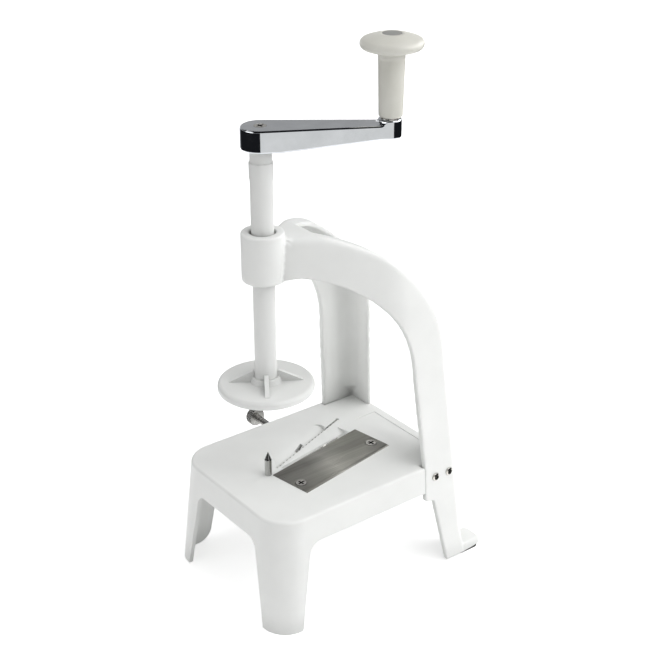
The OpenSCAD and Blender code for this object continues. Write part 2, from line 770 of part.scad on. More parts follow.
module rear_frame() {
    color(white) difference() {
        union() {
            difference() {
                intersection() {
                    across() frame_side(0, 0, pad_h);
                    leaning() half_plan(0, 0, 0);
                }
                // Open inside between the plates
                intersection() {
                    across() frame_side(web_t, band_d, -over);
                    leaning() half_plan(plate_t, plate_t, hollow_y);
                }
                // Window through the outer web
                leaning() half_plan(arm_flange_w, flange_w, window_y);
            }
            heels();
            // Collar with rounded rims
            translate([0, 0, collar_low]) rotate_extrude() {
                square([collar_r - collar_rim_r, collar_h]);
                translate([0, collar_rim_r]) square([collar_r, collar_h - 2 * collar_rim_r]);
                for (z = [collar_rim_r, collar_h - collar_rim_r]) {
                    translate([collar_r - collar_rim_r, z]) circle(collar_rim_r, $fn = 32);
                }
            }
        }
        // Bore of the bush, passage of the shaft and groove of the clip
        translate([0, 0, collar_low - over]) cylinder(r = bush_r + run, h = bush_top - collar_low + over);
        translate([0, 0, collar_low - over]) cylinder(r = shaft_r + 2 * pass, h = collar_h + 2 * over);
        translate([0, 0, clip_z - seam]) cylinder(r = bush_r + clip_groove, h = clip_t + 2 * seam);
        // Holes and flat seats of the frame screws
        at_frame_screws() {
            translate([-plate_t - wall, 0, 0]) rod_x(frame_screw_r + seam, plate_t + 2 * wall);
            translate([-0.5, 0, 0]) rod_x(frame_head_r + seam, wall);
        }
        // Sockets of the pads
        for (s = [-1, 1]) translate([s * pad_x, pad_y, 0])
            cylinder(r = pad_stub_r, h = pad_h + pad_stub_l + seam);
    }
}

module heel_pads() {
    color("black") for (s = [-1, 1]) translate([s * pad_x, pad_y, 0]) {
        linear_extrude(pad_h) {
            square([pad_w - 2 * heel_r, pad_l], center = true);
            square([pad_w, pad_l - 2 * heel_r], center = true);
            for (x = [-1, 1], y = [-1, 1]) {
                translate([x * (pad_w / 2 - heel_r), y * (pad_l / 2 - heel_r)]) circle(heel_r);
            }
        }
        translate([0, 0, pad_h - slice]) cylinder(r = pad_stub_r - run, h = pad_stub_l);
    }
}

module frame_screws() {
    color(steel) at_frame_screws() translate([-0.5, 0, 0]) difference() {
        union() {
            translate([-frame_screw_l, 0, 0]) rod_x(frame_screw_r, frame_screw_l + slice);
            rotate([0, 90, 0]) rotate_extrude() intersection() {
                square([frame_head_r, frame_head_h]);
                translate([0, frame_head_h - frame_head_r * 1.6]) circle(frame_head_r * 1.6);
            }
        }
        translate([frame_head_h, 0, 0]) rotate([0, 90, 0]) cross_recess(frame_head_r * 1.2);
    }
}

module frame_inserts() {
    color("gold") at_frame_screws() translate([-frame_screw_l - 0.5, 0, 0]) difference() {
        rod_x(insert_r, insert_l);
        translate([-over, 0, 0]) rod_x(frame_screw_r, insert_l + 2 * over);
    }
}

module main_blade() {
    color(steel) difference() {
        at_blade() translate([blade_u, blade_v, blade_low]) difference() {
            cube([blade_w, blade_l, blade_t]);
            // Bevel under the cutting edge
            rotate([0, atan(blade_t * 0.8 / bevel_w), 0]) translate([-span / 8, -over, -span / 8])
                translate([0, 0, -0.8 * blade_t]) cube([span / 4, blade_l + 2 * over, span / 8]);
            // Shallow bevel along the far edge
            translate([blade_w, 0, blade_t * 0.7]) rotate([0, atan(blade_t * 0.3 / bevel_w), 0])
                translate([-span / 8, -over, 0]) cube([span / 4, blade_l + 2 * over, span / 8]);
        }
        at_blade_screws() translate([0, 0, blade_top]) csk_hole(csk_l);
    }
}

module blade_screws() {
    color(steel) at_blade_screws() translate([0, 0, blade_top]) csk_screw(csk_l);
}

module blade_nuts() {
    color(steel) at_blade_screws() translate([0, 0, boss_low]) hex_nut(nut_w, nut_t, csk_r);
}

module centre_pin() {
    color(steel) translate([0, 0, deck_h]) {
        cylinder(r = pin_r, h = pin_h - pin_point_h);
        translate([0, 0, pin_h - pin_point_h - slice])
            cylinder(r1 = pin_r, r2 = 0.15, h = pin_point_h + slice);
        translate([0, 0, -deck_t - boss_t - nut_t - 1.5])
            cylinder(r = pin_tail_r, h = deck_t + boss_t + nut_t + 1.5 + slice);
    }
}

module pin_nut() {
    color(steel) translate([0, 0, boss_low]) hex_nut(nut_w * 0.86, nut_t, pin_tail_r);
}

module comb_blade() {
    n = floor((comb_out - comb_in - tooth_w) / tooth_pitch);
    gap = tooth_pitch - tooth_w;
    color(steel) difference() {
        at_comb() translate([-comb_t / 2, comb_in, comb_top - comb_h]) difference() {
            cube([comb_t, comb_out - comb_in, comb_h]);
            for (k = [0:n - 1]) {
                translate([-over, tooth_w + k * tooth_pitch, comb_h - tooth_h])
                    cube([comb_t + 2 * over, gap, tooth_h + over]);
            }
        }
        at_rivets() translate([-comb_t, 0, 0]) rod_x(rivet_r, 2 * comb_t);
    }
}

module comb_holder() {
    color(white) difference() {
        at_comb() translate([-comb_t / 2 - bar_w, bar_in, bar_top - bar_h])
            cube([bar_w, bar_out - bar_in, bar_h]);
        at_rivets() translate([-comb_t - bar_w, 0, 0]) rod_x(rivet_r, bar_w + 2 * comb_t);
    }
}

module comb_rivets() {
    color(steel) at_rivets() {
        translate([-comb_t / 2 - bar_w, 0, 0]) rod_x(rivet_r, bar_w + comb_t + slice);
        translate([comb_t / 2, 0, 0]) rod_x(rivet_r * 1.7, 0.7);
    }
}

module clamp_pad() {
    color(steel) difference() {
        at_thumb() translate([thumb_run - pass - swivel_l, 0, 0]) rod_x(swivel_r, swivel_l + swivel_r);
        at_thumb() translate([thumb_run - pass - swivel_l - over, 0, 0])
            rod_x(thumb_r * 0.72 + run, swivel_l * 0.6 + over);
        // Slanted front that lies flat on the bar
        at_comb() translate([bar_left - pass, 0, 0]) cube([span, span, span]);
    }
}

module thumbscrew() {
    tip = thumb_run - pass - swivel_l;
    color(steel) at_thumb() {
        difference() {
            translate([-thumb_reach - thumb_head_l, 0, 0]) rotate([0, 90, 0]) rotate_extrude() {
                square([thumb_head_r - 0.8, thumb_head_l]);
                translate([0, 0.8]) square([thumb_head_r, thumb_head_l - 1.6]);
                polygon([[thumb_head_r - 0.8, 0], [thumb_head_r, 0.8], [thumb_head_r - 0.8, 0.8]]);
                polygon([[thumb_head_r - 0.8, thumb_head_l], [thumb_head_r, thumb_head_l - 0.8],
                    [thumb_head_r - 0.8, thumb_head_l - 0.8]]);
            }
            for (k = [0:knurl_n - 1]) {
                rotate([k * 360 / knurl_n, 0, 0])
                    translate([-thumb_reach - thumb_head_l - over, 0, thumb_head_r - knurl_d])
                        rotate([45, 0, 0]) cube([thumb_head_l + 2 * over, span / 8, span / 8]);
            }
            translate([-thumb_reach - thumb_head_l - over, 0, 0]) rod_x(thumb_head_r * 0.5, 1.6 + over);
        }
        translate([-thumb_reach - slice, 0, 0]) rod_x(thumb_r, thumb_reach + tip - pass + slice);
        translate([tip - pass - slice, 0, 0]) rod_x(thumb_r * 0.72, swivel_l * 0.6);
    }
}

module thumb_nut() {
    color(steel) at_thumb() translate([wall + 4, 0, 0])
        rotate([0, -90, 0]) hex_nut(nut_w, nut_t, thumb_r + run);
}

// Axis of the pin that locks the disc, entering the hub from behind
module at_disc_pin() {
    translate([0, 0, disc_pin_h]) rotate([0, 0, crank_a + 45]) children();
}
// Long groove in the shaft, or the key that runs in it when gap is positive
module groove(z0, z1, gap) {
    w = groove_w - 2 * gap;
    for (s = [0, 180]) rotate([0, 0, crank_a + s]) translate([shaft_r - groove_d + gap, -w / 2, z0])
        cube([groove_d + over, w, z1 - z0]);
}

module guide_bush() {
    h = bush_top - bush_low - 2 * seam;
    color("gainsboro") translate([0, 0, bush_low + seam]) {
        difference() {
            cylinder(r = bush_r, h = h);
            translate([0, 0, -over]) cylinder(r = shaft_r + run, h = h + 2 * over);
        }
        intersection() {
            groove(0, key_h, pass);
            cylinder(r = bush_r - bush_wall / 2, h = h);
        }
    }
}

module bush_clip() {
    color(steel) translate([0, 0, clip_z]) difference() {
        cylinder(r = bush_r + clip_groove - seam, h = clip_t);
        translate([0, 0, -over]) cylinder(r = shaft_r + 2 * pass, h = clip_t + 2 * over);
        rotate([0, 0, -90]) translate([0, -1.5, -over]) cube([span / 8, 3, clip_t + 2 * over]);
    }
}

module shaft() {
    color(white) difference() {
        union() {
            translate([0, 0, disc_z + pin_hollow])
                cylinder(r = shaft_r, h = shaft_l - shaft_neck_l - pin_hollow);
            translate([0, 0, crank_z - shaft_neck_l - slice])
                cylinder(r = shaft_neck_r, h = shaft_neck_l + slice);
            rotate([0, 0, crank_a]) translate([-drive_w / 2, -drive_w / 2, crank_z - slice])
                cube([drive_w, drive_w, drive_h + slice]);
        }
        // Long grooves with round upper ends
        groove(groove_z0, groove_z1 - groove_w / 2, 0);
        for (s = [0, 180]) rotate([0, 0, crank_a + s])
            translate([shaft_r - groove_d, 0, groove_z1 - groove_w / 2])
            rod_x(groove_w / 2, groove_d + over);
        // Two notches at the root of the neck
        rotate([0, 0, crank_a + 90]) for (s = [-1, 1])
            translate([s * shaft_r, 0, crank_z - shaft_neck_l]) cube([2, groove_w, 2.4], center = true);
        // Seat of the insert and hole of the cross pin
        translate([0, 0, crank_z + drive_h - 8]) cylinder(r = csk_r + 1.2, h = 8 + over);
        translate([0, 0, disc_z]) at_disc_pin()
            translate([-disc_pin_in - seam, 0, 0]) rod_x(disc_pin_r, shaft_r * 4);
    }
}

module shaft_insert() {
    color("gold") translate([0, 0, crank_z + drive_h - 8]) difference() {
        cylinder(r = csk_r + 1.2 - run / 2, h = 8);
        translate([0, 0, -over]) cylinder(r = csk_r, h = 8 + 2 * over);
    }
}

module pusher_disc() {
    foot_r = 1;
    hub_r2 = shaft_r + disc_hub_wall;
    color(white) translate([0, 0, disc_z]) {
        difference() {
            union() {
                rotate_extrude() {
                    square([disc_r - disc_edge_r, disc_t]);
                    square([disc_r - foot_r, disc_t - disc_edge_r]);
                    translate([0, foot_r]) square([disc_r, disc_t - disc_edge_r - foot_r]);
                    translate([disc_r - disc_edge_r, disc_t - disc_edge_r]) circle(disc_edge_r, $fn = 48);
                    translate([disc_r - foot_r, foot_r]) circle(foot_r, $fn = 32);
                    polygon([[0, 0], [hub_r2 + 0.7, 0], [hub_r2 + 0.7, disc_t], [hub_r2 - 0.7, disc_hub_h],
                        [0, disc_hub_h]]);
                }
                // Four gussets in line with the crank
                for (a = [0:90:270]) rotate([0, 0, crank_a + a])
                    translate([0, gusset_t / 2, 0]) rotate([90, 0, 0])
                    linear_extrude(gusset_t)
                        polygon([[shaft_r - 0.5, disc_t - slice], [gusset_reach, disc_t - slice],
                        [gusset_reach, disc_t + 0.4], [shaft_r + 1.2, gusset_h], [shaft_r - 0.5, gusset_h]]);
            }
            translate([0, 0, pin_hollow]) cylinder(r = shaft_r + run, h = gusset_h + over);
            translate([0, 0, -over]) cylinder(r = pin_r + 1.2, h = pin_hollow + 2 * over);
            at_disc_pin() rod_x(disc_pin_r, hub_r2 * 2);
        }
        for (k = [0:spike_n - 1]) rotate([0, 0, crank_a + (k + 0.5) * 360 / spike_n])
            translate([spike_ring_r, 0, -spike_l]) cylinder(r1 = 0.3, r2 = spike_r, h = spike_l + slice);
    }
}

module disc_pin() {
    color(steel) translate([0, 0, disc_z]) at_disc_pin() translate([-disc_pin_in, 0, 0])
        rod_x(disc_pin_r - run / 2, disc_pin_in + shaft_r + disc_hub_wall - 0.6);
}

// Upright form of the crank arm along +X: two cylinders joined by their tangent planes
module crank_form(h) {
    t = asin((hub_r - tip_r) / crank_l);
    near = hub_r * [sin(t), cos(t)];
    far = [crank_l, 0] + tip_r * [sin(t), cos(t)];
    union() {
        cylinder(r = hub_r, h = h);
        linear_extrude(h) polygon([[0, 0], near, far, [crank_l, 0], [far[0], -far[1]], [near[0], -near[1]]]);
        translate([crank_l, 0, 0]) cylinder(r = tip_r, h = h);
    }
}

module crank_arm() {
    top = hub_h + seat_h;
    end = crank_l + tip_r + over;
    ring_r = tip_r + 0.6;
    color(chrome) rotate([0, 0, crank_a]) translate([0, 0, crank_z]) difference() {
        intersection() {
            crank_form(top);
            union() {
                along(-span / 8, span / 8)
                    polygon([[-hub_r - over, 0], [hub_r, 0], [crank_l - tip_r, hub_h - tip_h],
                    [end, hub_h - tip_h], [end, hub_h], [-hub_r - over, hub_h]]);
                // Raised seat of the knob with a hollow fillet
                translate([crank_l, 0, hub_h - over]) rotate_extrude() difference() {
                    union() {
                        square([ring_r, seat_h + 2 * over]);
                        square([ring_r + seat_fillet, seat_fillet + over]);
                    }
                    translate([ring_r + seat_fillet, seat_fillet + over]) circle(seat_fillet);
                }
            }
        }
        // Square socket of the shaft and seat of the screw
        translate([-drive_w / 2 - run, -drive_w / 2 - run, -over])
            cube([drive_w + 2 * run, drive_w + 2 * run, drive_h + run + over]);
        translate([0, 0, hub_h]) csk_hole(csk_l);
        // Threaded hole of the spindle
        translate([crank_l, 0, hub_h - tip_h - over])
            cylinder(r = spindle_thread_r, h = tip_h + seat_h + 2 * over);
    }
}

module crank_screw() {
    color(steel) translate([0, 0, crank_z + hub_h]) csk_screw(csk_l);
}

// Place of the knob's axis
module at_knob() {
    rotate([0, 0, crank_a]) translate([crank_l, 0, 0]) children();
}

module knob_spindle() {
    color(steel) at_knob() {
        translate([0, 0, seat_z]) cylinder(r = spindle_r, h = spindle_head_z - seat_z + slice);
        translate([0, 0, spindle_head_z]) difference() {
            cylinder(r = spindle_head_r, h = spindle_head_h);
            translate([0, 0, spindle_head_h]) cross_recess(spindle_head_r);
        }
        translate([0, 0, crank_z + hub_h - tip_h]) cylinder(r = spindle_thread_r, h = tip_h + seat_h + slice);
    }
}

module spindle_washer() {
    color(steel) at_knob() translate([0, 0, seat_z]) difference() {
        cylinder(r = washer_r, h = washer_t);
        translate([0, 0, -over]) cylinder(r = spindle_r + run, h = washer_t + 2 * over);
    }
}

// Half section of the knob: tapered stem, hollow curve, rounded edge and a dome tangent to it
module knob_section() {
    h = stem_l + head_h;
    edge_z = stem_l + head_edge_r;
    foot_r = 1;
    fillet_x = stem_top_r + head_fillet_r;
    out = head_dome_r / (head_dome_r - head_edge_r);
    polygon([[0, 0], [stem_low_r - foot_r, 0], [stem_low_r, foot_r], [stem_top_r, stem_l], [0, stem_l]]);
    translate([stem_low_r - foot_r, foot_r]) circle(foot_r, $fn = 32);
    difference() {
        translate([0, stem_l - head_fillet_r]) square([fillet_x, head_fillet_r + head_edge_r]);
        translate([fillet_x, stem_l - head_fillet_r]) circle(head_fillet_r);
    }
    translate([edge_x, edge_z]) circle(head_edge_r);
    translate([0, stem_l]) square([edge_x, head_edge_r]);
    intersection() {
        translate([0, h - head_dome_r]) circle(head_dome_r, $fn = 180);
        polygon([[0, edge_z], [edge_x, edge_z],
            [edge_x * out, h - head_dome_r + (dome_rise - head_dome_r) * -out],
            [edge_x * out, h + over], [0, h + over]]);
    }
}

module knob_grip() {
    color("ivory") at_knob() translate([0, 0, knob_z]) difference() {
        rotate_extrude() knob_section();
        translate([0, 0, -over]) cylinder(r = spindle_r + run, h = stem_l + head_h);
        translate([0, 0, spindle_head_z - pass - knob_z]) cylinder(r = spindle_head_r + pass, h = head_h);
        translate([0, 0, cap_z - knob_z]) cylinder(r = cap_r + run, h = cap_t + over);
    }
}

module knob_cap() {
    color("gray") at_knob() translate([0, 0, cap_z]) rotate_extrude() intersection() {
        square([cap_r, cap_t]);
        translate([0, cap_t - head_dome_r]) circle(head_dome_r, $fn = 180);
    }
}

base_table();
rear_frame();
heel_pads();
frame_screws();
frame_inserts();
main_blade();
blade_screws();
blade_nuts();
centre_pin();
pin_nut();
comb_blade();
comb_holder();
comb_rivets();
clamp_pad();
thumbscrew();
thumb_nut();
guide_bush();
bush_clip();
shaft();
shaft_insert();
pusher_disc();
disc_pin();
crank_arm();
crank_screw();
knob_spindle();
spindle_washer();
knob_grip();
knob_cap();
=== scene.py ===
import json
import math

import bmesh
import bpy
import numpy as np
from mathutils import Matrix, Vector


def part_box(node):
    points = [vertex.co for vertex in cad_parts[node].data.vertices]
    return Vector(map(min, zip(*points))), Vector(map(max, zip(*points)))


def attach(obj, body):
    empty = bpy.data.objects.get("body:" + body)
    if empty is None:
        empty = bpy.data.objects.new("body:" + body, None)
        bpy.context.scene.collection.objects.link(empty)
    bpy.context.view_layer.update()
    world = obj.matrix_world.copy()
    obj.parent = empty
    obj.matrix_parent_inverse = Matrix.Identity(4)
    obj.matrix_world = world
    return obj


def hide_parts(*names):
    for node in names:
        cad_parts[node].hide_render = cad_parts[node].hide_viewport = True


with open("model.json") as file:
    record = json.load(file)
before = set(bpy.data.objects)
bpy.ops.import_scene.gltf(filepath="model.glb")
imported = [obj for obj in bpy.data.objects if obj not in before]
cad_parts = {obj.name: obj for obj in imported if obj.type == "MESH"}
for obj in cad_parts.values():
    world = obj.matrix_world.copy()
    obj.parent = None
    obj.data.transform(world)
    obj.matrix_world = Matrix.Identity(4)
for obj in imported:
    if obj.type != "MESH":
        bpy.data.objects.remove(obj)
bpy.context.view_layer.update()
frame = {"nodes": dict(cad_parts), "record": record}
nodes = frame["nodes"]
bodyOf = {n: b for b, ns in frame["record"]["behaviour"]["bodies"].items() for n in ns}
mm = 0.001
print("frame loaded:", len(nodes), "nodes")


# sRGB hex to the linear colour that a shader socket takes
def hexColour(text):
    parts = [int(text[i:i + 2], 16) / 255 for i in (1, 3, 5)]
    linear = [c / 12.92 if c <= 0.04045 else ((c + 0.055) / 1.055) ** 2.4 for c in parts]
    return (*linear, 1.0)


# adds a node, sets its properties and socket values, and links what is given as (node, output); a socket goes
# by its name with _ for a space, or by its number as i0, i1 and so on
def addNode(tree, kind, props=None, **sockets):
    node = tree.nodes.new(kind)
    for name, value in (props or {}).items():
        setattr(node, name, value)
    for name, value in sockets.items():
        key = name.replace("_", " ")
        socket = node.inputs[int(key[1:])] if key[0] == "i" and key[1:].isdigit() else node.inputs[key]
        if isinstance(value, tuple) and len(value) == 2 and hasattr(value[0], "outputs"):
            tree.links.new(value[0].outputs[value[1]], socket)
        else:
            socket.default_value = value
    return node


def newMaterial(name):
    material = bpy.data.materials.new(name)
    material.use_nodes = True
    material.node_tree.nodes.clear()
    return material, material.node_tree


def setRamp(ramp, stops):
    elements = ramp.color_ramp.elements
    while len(elements) < len(stops):
        elements.new(0.5)
    for element, (place, colour) in zip(elements, stops):
        element.position = place
        element.color = colour


# colour and gloss follow a noise between these two of its values, which nearly all of it lies between
noiseSpan = (0.3, 0.7)


def addNoise(tree, place, sizeMm, detail, rough=0.5):
    return addNode(tree, "ShaderNodeTexNoise", None, Vector=place, Scale=1 / (sizeMm * mm), Detail=detail,
                   Roughness=rough)


def followNoise(tree, noise, look):
    low, high = noiseSpan
    colour = addNode(tree, "ShaderNodeValToRGB", None, Fac=(noise, "Fac"))
    setRamp(colour, [(low, hexColour(look["dark"])), (high, hexColour(look["light"]))])
    gloss = addNode(tree, "ShaderNodeMapRange", None, Value=(noise, "Fac"), From_Min=low, From_Max=high,
                    To_Min=look["rough"][0], To_Max=look["rough"][1])
    return colour, gloss


def addBump(tree, noise, strength, deepMm):
    return addNode(tree, "ShaderNodeBump", None, Strength=strength, Distance=deepMm * mm,
                   Height=(noise, "Fac"))


# two colours multiplied
def tinted(tree, first, second):
    return addNode(tree, "ShaderNodeMix", {"data_type": "RGBA", "blend_type": "MULTIPLY"}, i0=1.0, i6=first,
                   i7=second)


# ends a material with its one shader
def closeMaterial(tree, **sockets):
    shader = addNode(tree, "ShaderNodeBsdfPrincipled", None, **sockets)
    addNode(tree, "ShaderNodeOutputMaterial", None, Surface=(shader, "BSDF"))


# moulded plastics: a faint flow mottle, gloss that wanders, the fine spark-eroded grain of the tool, drawn
# coarser than real, and painted shade that darkens the colour in the nooks
# span of ambient occlusion over which the painted shade in the nooks fades out
paintedShadeSpan = (0.3, 0.9)


def mouldedPlastic(name, look):
    material, tree = newMaterial(name)
    place = addNode(tree, "ShaderNodeTexCoord")
    mottle = addNoise(tree, (place, "Object"), look["mottleMm"], 3.0, 0.55)
    colour, gloss = followNoise(tree, mottle, look)
    grain = addNoise(tree, (place, "Object"), look["grainMm"], 2.0, 0.6)
    bump = addBump(tree, grain, look["grain"], 0.2)
    # painted shade: ambient occlusion darkens the base colour in nooks and corners, down to the look's lowest
    # share
    paintedNookShade = addNode(tree, "ShaderNodeAmbientOcclusion", {"samples": 8}, Distance=look["nookMm"] * mm)
    depth = addNode(tree, "ShaderNodeMapRange", None, Value=(paintedNookShade, "AO"), From_Min=paintedShadeSpan[0],
                    From_Max=paintedShadeSpan[1], To_Min=look["paintedNookShade"], To_Max=1.0)
    tone = tinted(tree, (colour, "Color"), (depth, "Result"))
    closeMaterial(tree, Base_Color=(tone, "Result"), Roughness=(gloss, "Result"), Normal=(bump, "Normal"),
                  IOR=look["ior"], Specular_IOR_Level=look["specular"])
    return material


# plated and polished metals: mirror-like, with a soft haze and the faintest orange peel
def platedMetal(name, look):
    material, tree = newMaterial(name)
    place = addNode(tree, "ShaderNodeTexCoord")
    hazeAndPaintedReflection = addNoise(tree, (place, "Object"), look["hazeMm"], 4.0, 0.6)
    colour, gloss = followNoise(tree, hazeAndPaintedReflection, look)
    peel = addNoise(tree, (place, "Object"), look["peelMm"], 1.0)
    bump = addBump(tree, peel, look["peel"], 0.1)
    closeMaterial(tree, Base_Color=(colour, "Color"), Roughness=(gloss, "Result"), Normal=(bump, "Normal"),
                  Metallic=1.0)
    return material


# brushed stainless sheet: long fine scratches along the strip, drawn coarser than real so that they show; a
# painted reflection goes by shares of the strip's length, and its borders wander by the drift to each side
sheetLook = {"lineShare": 0.55, "streakSpan": (0.55, 1.0), "driftMm": 10, "glossSpan": (0.25, 0.75)}


def brushedSheet(name, look):
    material, tree = newMaterial(name)
    place = addNode(tree, "ShaderNodeTexCoord")
    askew = (0, 0, -math.radians(look["turn"]))
    turned = addNode(tree, "ShaderNodeMapping", None, Vector=(place, "Object"), Rotation=askew,
                     Scale=(1, 1 / look["stretch"], 1))
    lines = addNoise(tree, (turned, "Vector"), look["lineMm"], 3.0, 0.7)
    cloud = addNoise(tree, (turned, "Vector"), look["cloudMm"], 1.0)
    blend = addNode(tree, "ShaderNodeMath", {"operation": "MULTIPLY_ADD"}, i0=(lines, "Fac"),
                    i1=sheetLook["lineShare"], i2=(cloud, "Fac"))
    streaks = addNode(tree, "ShaderNodeValToRGB", None, Fac=(blend, "Value"))
    setRamp(streaks, list(zip(sheetLook["streakSpan"], (hexColour(look["dark"]), hexColour(look["light"])))))
    level = addNode(tree, "ShaderNodeMapping", None, Vector=(place, "Object"), Rotation=askew)
    parts = addNode(tree, "ShaderNodeSeparateXYZ", None, Vector=(level, "Vector"))
    drift = sheetLook["driftMm"] * mm
    wander = addNode(tree, "ShaderNodeMath", {"operation": "MULTIPLY_ADD"}, i0=(cloud, "Fac"), i1=2 * drift,
                     i2=(parts, "Y"))
    # painted reflection: the colour is lighter and darker by the place along the strip's length
    share = addNode(tree, "ShaderNodeMapRange", None, Value=(wander, "Value"),
                    From_Min=look["span"][0] * mm + drift, From_Max=look["span"][1] * mm + drift)
    hazeAndPaintedReflection = addNode(tree, "ShaderNodeValToRGB", None, Fac=(share, "Result"))
    setRamp(hazeAndPaintedReflection, [(stop, hexColour(shade)) for stop, shade in look["hazeAndPaintedReflection"]])
    colour = tinted(tree, (streaks, "Color"), (hazeAndPaintedReflection, "Color"))
    gloss = addNode(tree, "ShaderNodeMapRange", None, Value=(lines, "Fac"),
                    From_Min=sheetLook["glossSpan"][0], From_Max=sheetLook["glossSpan"][1],
                    To_Min=look["rough"][0], To_Max=look["rough"][1])
    bump = addBump(tree, lines, look["scratch"], 0.1)
    closeMaterial(tree, Base_Color=(colour, "Result"), Roughness=(gloss, "Result"), Normal=(bump, "Normal"),
                  Metallic=1.0, Anisotropic=0.5)
    return material


# turned and drawn steel: marks round the axis drawn coarser than real so that they show, or painted
# reflections along it
def turnedSteel(name, look):
    material, tree = newMaterial(name)
    place = addNode(tree, "ShaderNodeTexCoord")
    rings = addNode(tree, "ShaderNodeMapping", None, Vector=(place, "Object"), Scale=look["along"])
    marks = addNoise(tree, (rings, "Vector"), look["ringMm"], 3.0, 0.7)
    colour, gloss = followNoise(tree, marks, look)
    bump = addBump(tree, marks, look["depth"], 0.5)
    closeMaterial(tree, Base_Color=(colour, "Color"), Roughness=(gloss, "Result"), Normal=(bump, "Normal"),
                  Metallic=1.0)
    return material


whiteAbs = mouldedPlastic("white_abs_moulded_satin", {
    "light": "#f6f7f5", "dark": "#f1f2f0", "mottleMm": 35, "rough": (0.30, 0.40), "grainMm": 0.8,
    "grain": 0.03, "nookMm": 22, "paintedNookShade": 0.74, "ior": 1.54,
    "specular": 0.45})  # even cool white with a soft satin sheen
shaftAbs = mouldedPlastic("white_abs_moulded_shaft", {
    "light": "#ecedeb", "dark": "#e9eae8", "mottleMm": 60, "rough": (0.28, 0.32), "grainMm": 0.8,
    "grain": 0.03, "nookMm": 22, "paintedNookShade": 0.74, "ior": 1.54,
    "specular": 0.5})  # a shade greyer than the stand, and glossier where it slides
knobAbs = mouldedPlastic("offwhite_abs_polished", {
    "light": "#dfded6", "dark": "#d7d6cd", "mottleMm": 18, "rough": (0.28, 0.36), "grainMm": 0.8,
    "grain": 0.03, "nookMm": 22, "paintedNookShade": 0.74, "ior": 1.54,
    "specular": 0.5})  # warm off-white from a polished tool
greyCap = mouldedPlastic("grey_polypropylene_cap", {
    "light": "#a2a29f", "dark": "#8f8f8c", "mottleMm": 6, "rough": (0.42, 0.55), "grainMm": 0.8,
    "grain": 0.06, "nookMm": 6, "paintedNookShade": 0.8, "ior": 1.49,
    "specular": 0.4})  # mid grey plug, slightly dull
acetalBush = mouldedPlastic("acetal_turned", {
    "light": "#e7e6e0", "dark": "#dcdbd4", "mottleMm": 8, "rough": (0.3, 0.4), "grainMm": 0.8,
    "grain": 0.03, "nookMm": 22, "paintedNookShade": 0.74, "ior": 1.48,
    "specular": 0.45})  # waxy natural white
blackRubber = mouldedPlastic("black_rubber_moulded", {
    "light": "#202020", "dark": "#121212", "mottleMm": 5, "rough": (0.6, 0.8), "grainMm": 1.0,
    "grain": 0.25, "nookMm": 6, "paintedNookShade": 0.8, "ior": 1.52,
    "specular": 0.3})  # dull black with a dusty grain
chromeZinc = platedMetal("zinc_die_cast_chrome_plated", {
    "light": "#dfe2e6", "dark": "#d3d6da", "hazeMm": 14, "rough": (0.05, 0.11),
    "peelMm": 3, "peel": 0.02})  # bright cool mirror over a smooth casting
nickelSteel = platedMetal("steel_nickel_plated", {
    "light": "#dad8d3", "dark": "#c4c1bb", "hazeMm": 3, "rough": (0.14, 0.26),
    "peelMm": 1, "peel": 0.05})  # a little warmer and duller than the chrome
pinWithPaintedStreaks = turnedSteel("steel_pin_painted_reflection_streaks", {
    "light": "#e2e2e0", "dark": "#4d4d4b", "along": (1, 1, 0.02), "ringMm": 1.4, "rough": (0.14, 0.24),
    "depth": 0.05})  # upright light and dark streaks along the bar, which are painted reflections
turnedScrew = turnedSteel("steel_thumbscrew_turned", {
    "light": "#c2c1be", "dark": "#6b6a67", "along": (1, 0.02, 0.02), "ringMm": 0.5, "rough": (0.18, 0.3),
    "depth": 0.6})  # rings of the cutting tool round the screw
turnedBrass = platedMetal("brass_turned", {
    "light": "#cfab5e", "dark": "#b8924a", "hazeMm": 3, "rough": (0.2, 0.32),
    "peelMm": 1, "peel": 0.05})  # bare yellow brass
stainless = brushedSheet("stainless_sheet_brushed", {
    "light": "#f8f7f3", "dark": "#b9b8b4", "turn": 9.75, "stretch": 60, "lineMm": 0.8, "cloudMm": 14,
    "span": (1, 83), "rough": (0.26, 0.42), "scratch": 0.12,
    "hazeAndPaintedReflection": [(0.0, "#a2a19d"), (0.3, "#b4b3af"), (0.48, "#dddcd8"), (0.66, "#bfbeba"),
             (1.0, "#aeada9")]})  # brushed along the blade, with a painted reflection brighter about its middle
combSteel = brushedSheet("stainless_comb_stamped", {
    "light": "#cfceca", "dark": "#a9a8a4", "turn": 20.4, "stretch": 40, "lineMm": 0.5, "cloudMm": 10,
    "span": (1, 75), "rough": (0.28, 0.42), "scratch": 0.1,
    "hazeAndPaintedReflection": [(0.0, "#c4c3c0"), (0.4, "#e2e1de"), (1.0, "#b8b7b4")]})  # greyer strip, stamped and brushed, with a painted reflection brightest before its middle
gapShadeSteel = platedMetal("painted_shade_in_screw_gaps", {
    "light": "#3a3936", "dark": "#242321", "hazeMm": 2, "rough": (0.45, 0.6),
    "peelMm": 1, "peel": 0.05})  # painted shade round a screw's head and in its cross recess
print("materials made:", len(bpy.data.materials))


# how a copy of a CAD node is cleaned and shaded: corners that are one point, faces that are one plane, edges
# that are rounded or kept as creases, and the weight of large faces in the normals
dressing = {"weldMm": 0.004, "flatDeg": 0.4, "sharpDeg": 28, "creaseDeg": 25, "normalWeight": 60}


def sharpEdges(mesh, keep):
    lowest = math.radians(dressing["sharpDeg"])
    found = []
    for edge in mesh.edges:
        if len(edge.link_faces) == 2 and edge.calc_face_angle(0) > lowest and keep(edge):
            found.append(edge)
    return found


# gives a mesh its material, smooth faces and body in place of a CAD node
def putOn(node, data, material):
    for face in data.polygons:
        face.use_smooth = True
    data.materials.clear()
    data.materials.append(material)
    data.name = node + "_look"
    piece = bpy.data.objects.new(node + "_look", data)
    bpy.context.scene.collection.objects.link(piece)
    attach(piece, bodyOf[node])
    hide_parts(node)
    return piece


